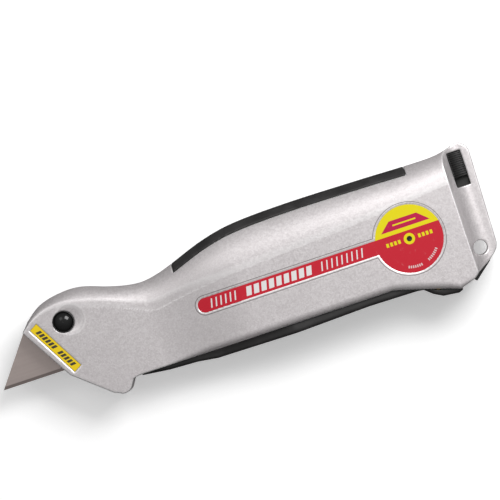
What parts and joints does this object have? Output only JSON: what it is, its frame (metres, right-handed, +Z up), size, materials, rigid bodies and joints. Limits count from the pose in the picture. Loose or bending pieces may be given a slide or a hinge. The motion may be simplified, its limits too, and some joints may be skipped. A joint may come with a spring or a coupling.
{
  "type": "utility knife",
  "caption": "Squeeze-grip utility knife with a cast metal body, a lever along the underside that drives the blade out, a nose button, a tail lock slider and a drawer of spare blades",
  "frame": {"origin": "on the table under the middle of the knife's whole outline, blade out", "axes": "+X from nose to tail, +Y from lever to spine, +Z up through the thickness to the label side; the knife lies on its far side"},
  "size_m": [0.1982, 0.0554, 0.026],
  "materials": {
    "cast_paint": "satin metallic silver paint on a casting",
    "soft_black": "matte soft elastomer",
    "black_plastic": "fine moulded black",
    "gloss_black": "glossy black",
    "lever_plastic": "fine textured black",
    "zinc_steel": "zinc plated",
    "ground_steel": "ground",
    "spring_steel": "drawn, bright",
    "blade_steel": "ground, fine lengthwise grain",
    "carriage_metal": "sintered",
    "brass": "turned",
    "rubber": "matte",
    "printed_red": null,
    "printed_yellow": null
  },
  "bodies": {
    "casing": {"main_body": "cast_paint", "back_cover": "cast_paint", "spine_grip": "soft_black", "tail_insert": "black_plastic", "cover_screws": "zinc_steel", "locating_pins": "ground_steel", "guide_rails": "ground_steel", "stop_pad": "rubber", "side_label": "printed_red", "warning_label": "printed_yellow", "button_collar": "black_plastic", "button_spring": "spring_steel", "lever_pivot_pin": "ground_steel", "lever_spring": "spring_steel", "detent_leaf": "spring_steel"},
    "lever": {"squeeze_lever": "lever_plastic", "cam_plates": "ground_steel", "plate_rivets": "zinc_steel", "pivot_bushes": "brass"},
    "carriage": {"blade_carriage": "carriage_metal", "blade": "blade_steel", "blade_keeper": "spring_steel", "keeper_screw": "zinc_steel", "drive_pin": "ground_steel"},
    "button": {"release_button": "gloss_black"},
    "slider": {"lock_slider": "black_plastic", "latch_bar": "ground_steel"},
    "drawer": {"magazine_tray": "black_plastic", "spare_blades": "blade_steel"}
  },
  "joints": [
    {"name": "lever_hinge", "type": "hinge", "parent": "casing", "child": "lever", "pos_m": [0.0724, -0.02045, 0.013], "axis": [0, 0, 1], "range_deg": [0, 10], "stiffness_Nm_per_rad": 1.2, "springref_deg": 20.05},
    {"name": "carriage_slide", "type": "slide", "parent": "casing", "child": "carriage", "axis": [1, 0, 0], "range_m": [0, 0.028]},
    {"name": "button_press", "type": "slide", "parent": "casing", "child": "button", "axis": [0, 0, -1], "range_m": [0, 0.0014], "stiffness_N_per_m": 400, "springref_m": -0.001, "deforming": ["button_spring"]},
    {"name": "lock_slide", "type": "slide", "parent": "casing", "child": "slider", "axis": [0, -1, 0], "range_m": [0, 0.0035]},
    {"name": "drawer_slide", "type": "slide", "parent": "casing", "child": "drawer", "axis": [1, 0, 0], "range_m": [0, 0.06]}
  ],
  "couplings": [
    {"joint": "carriage_slide", "follows": "lever_hinge", "m_per_rad": 0.16042}
  ]
}
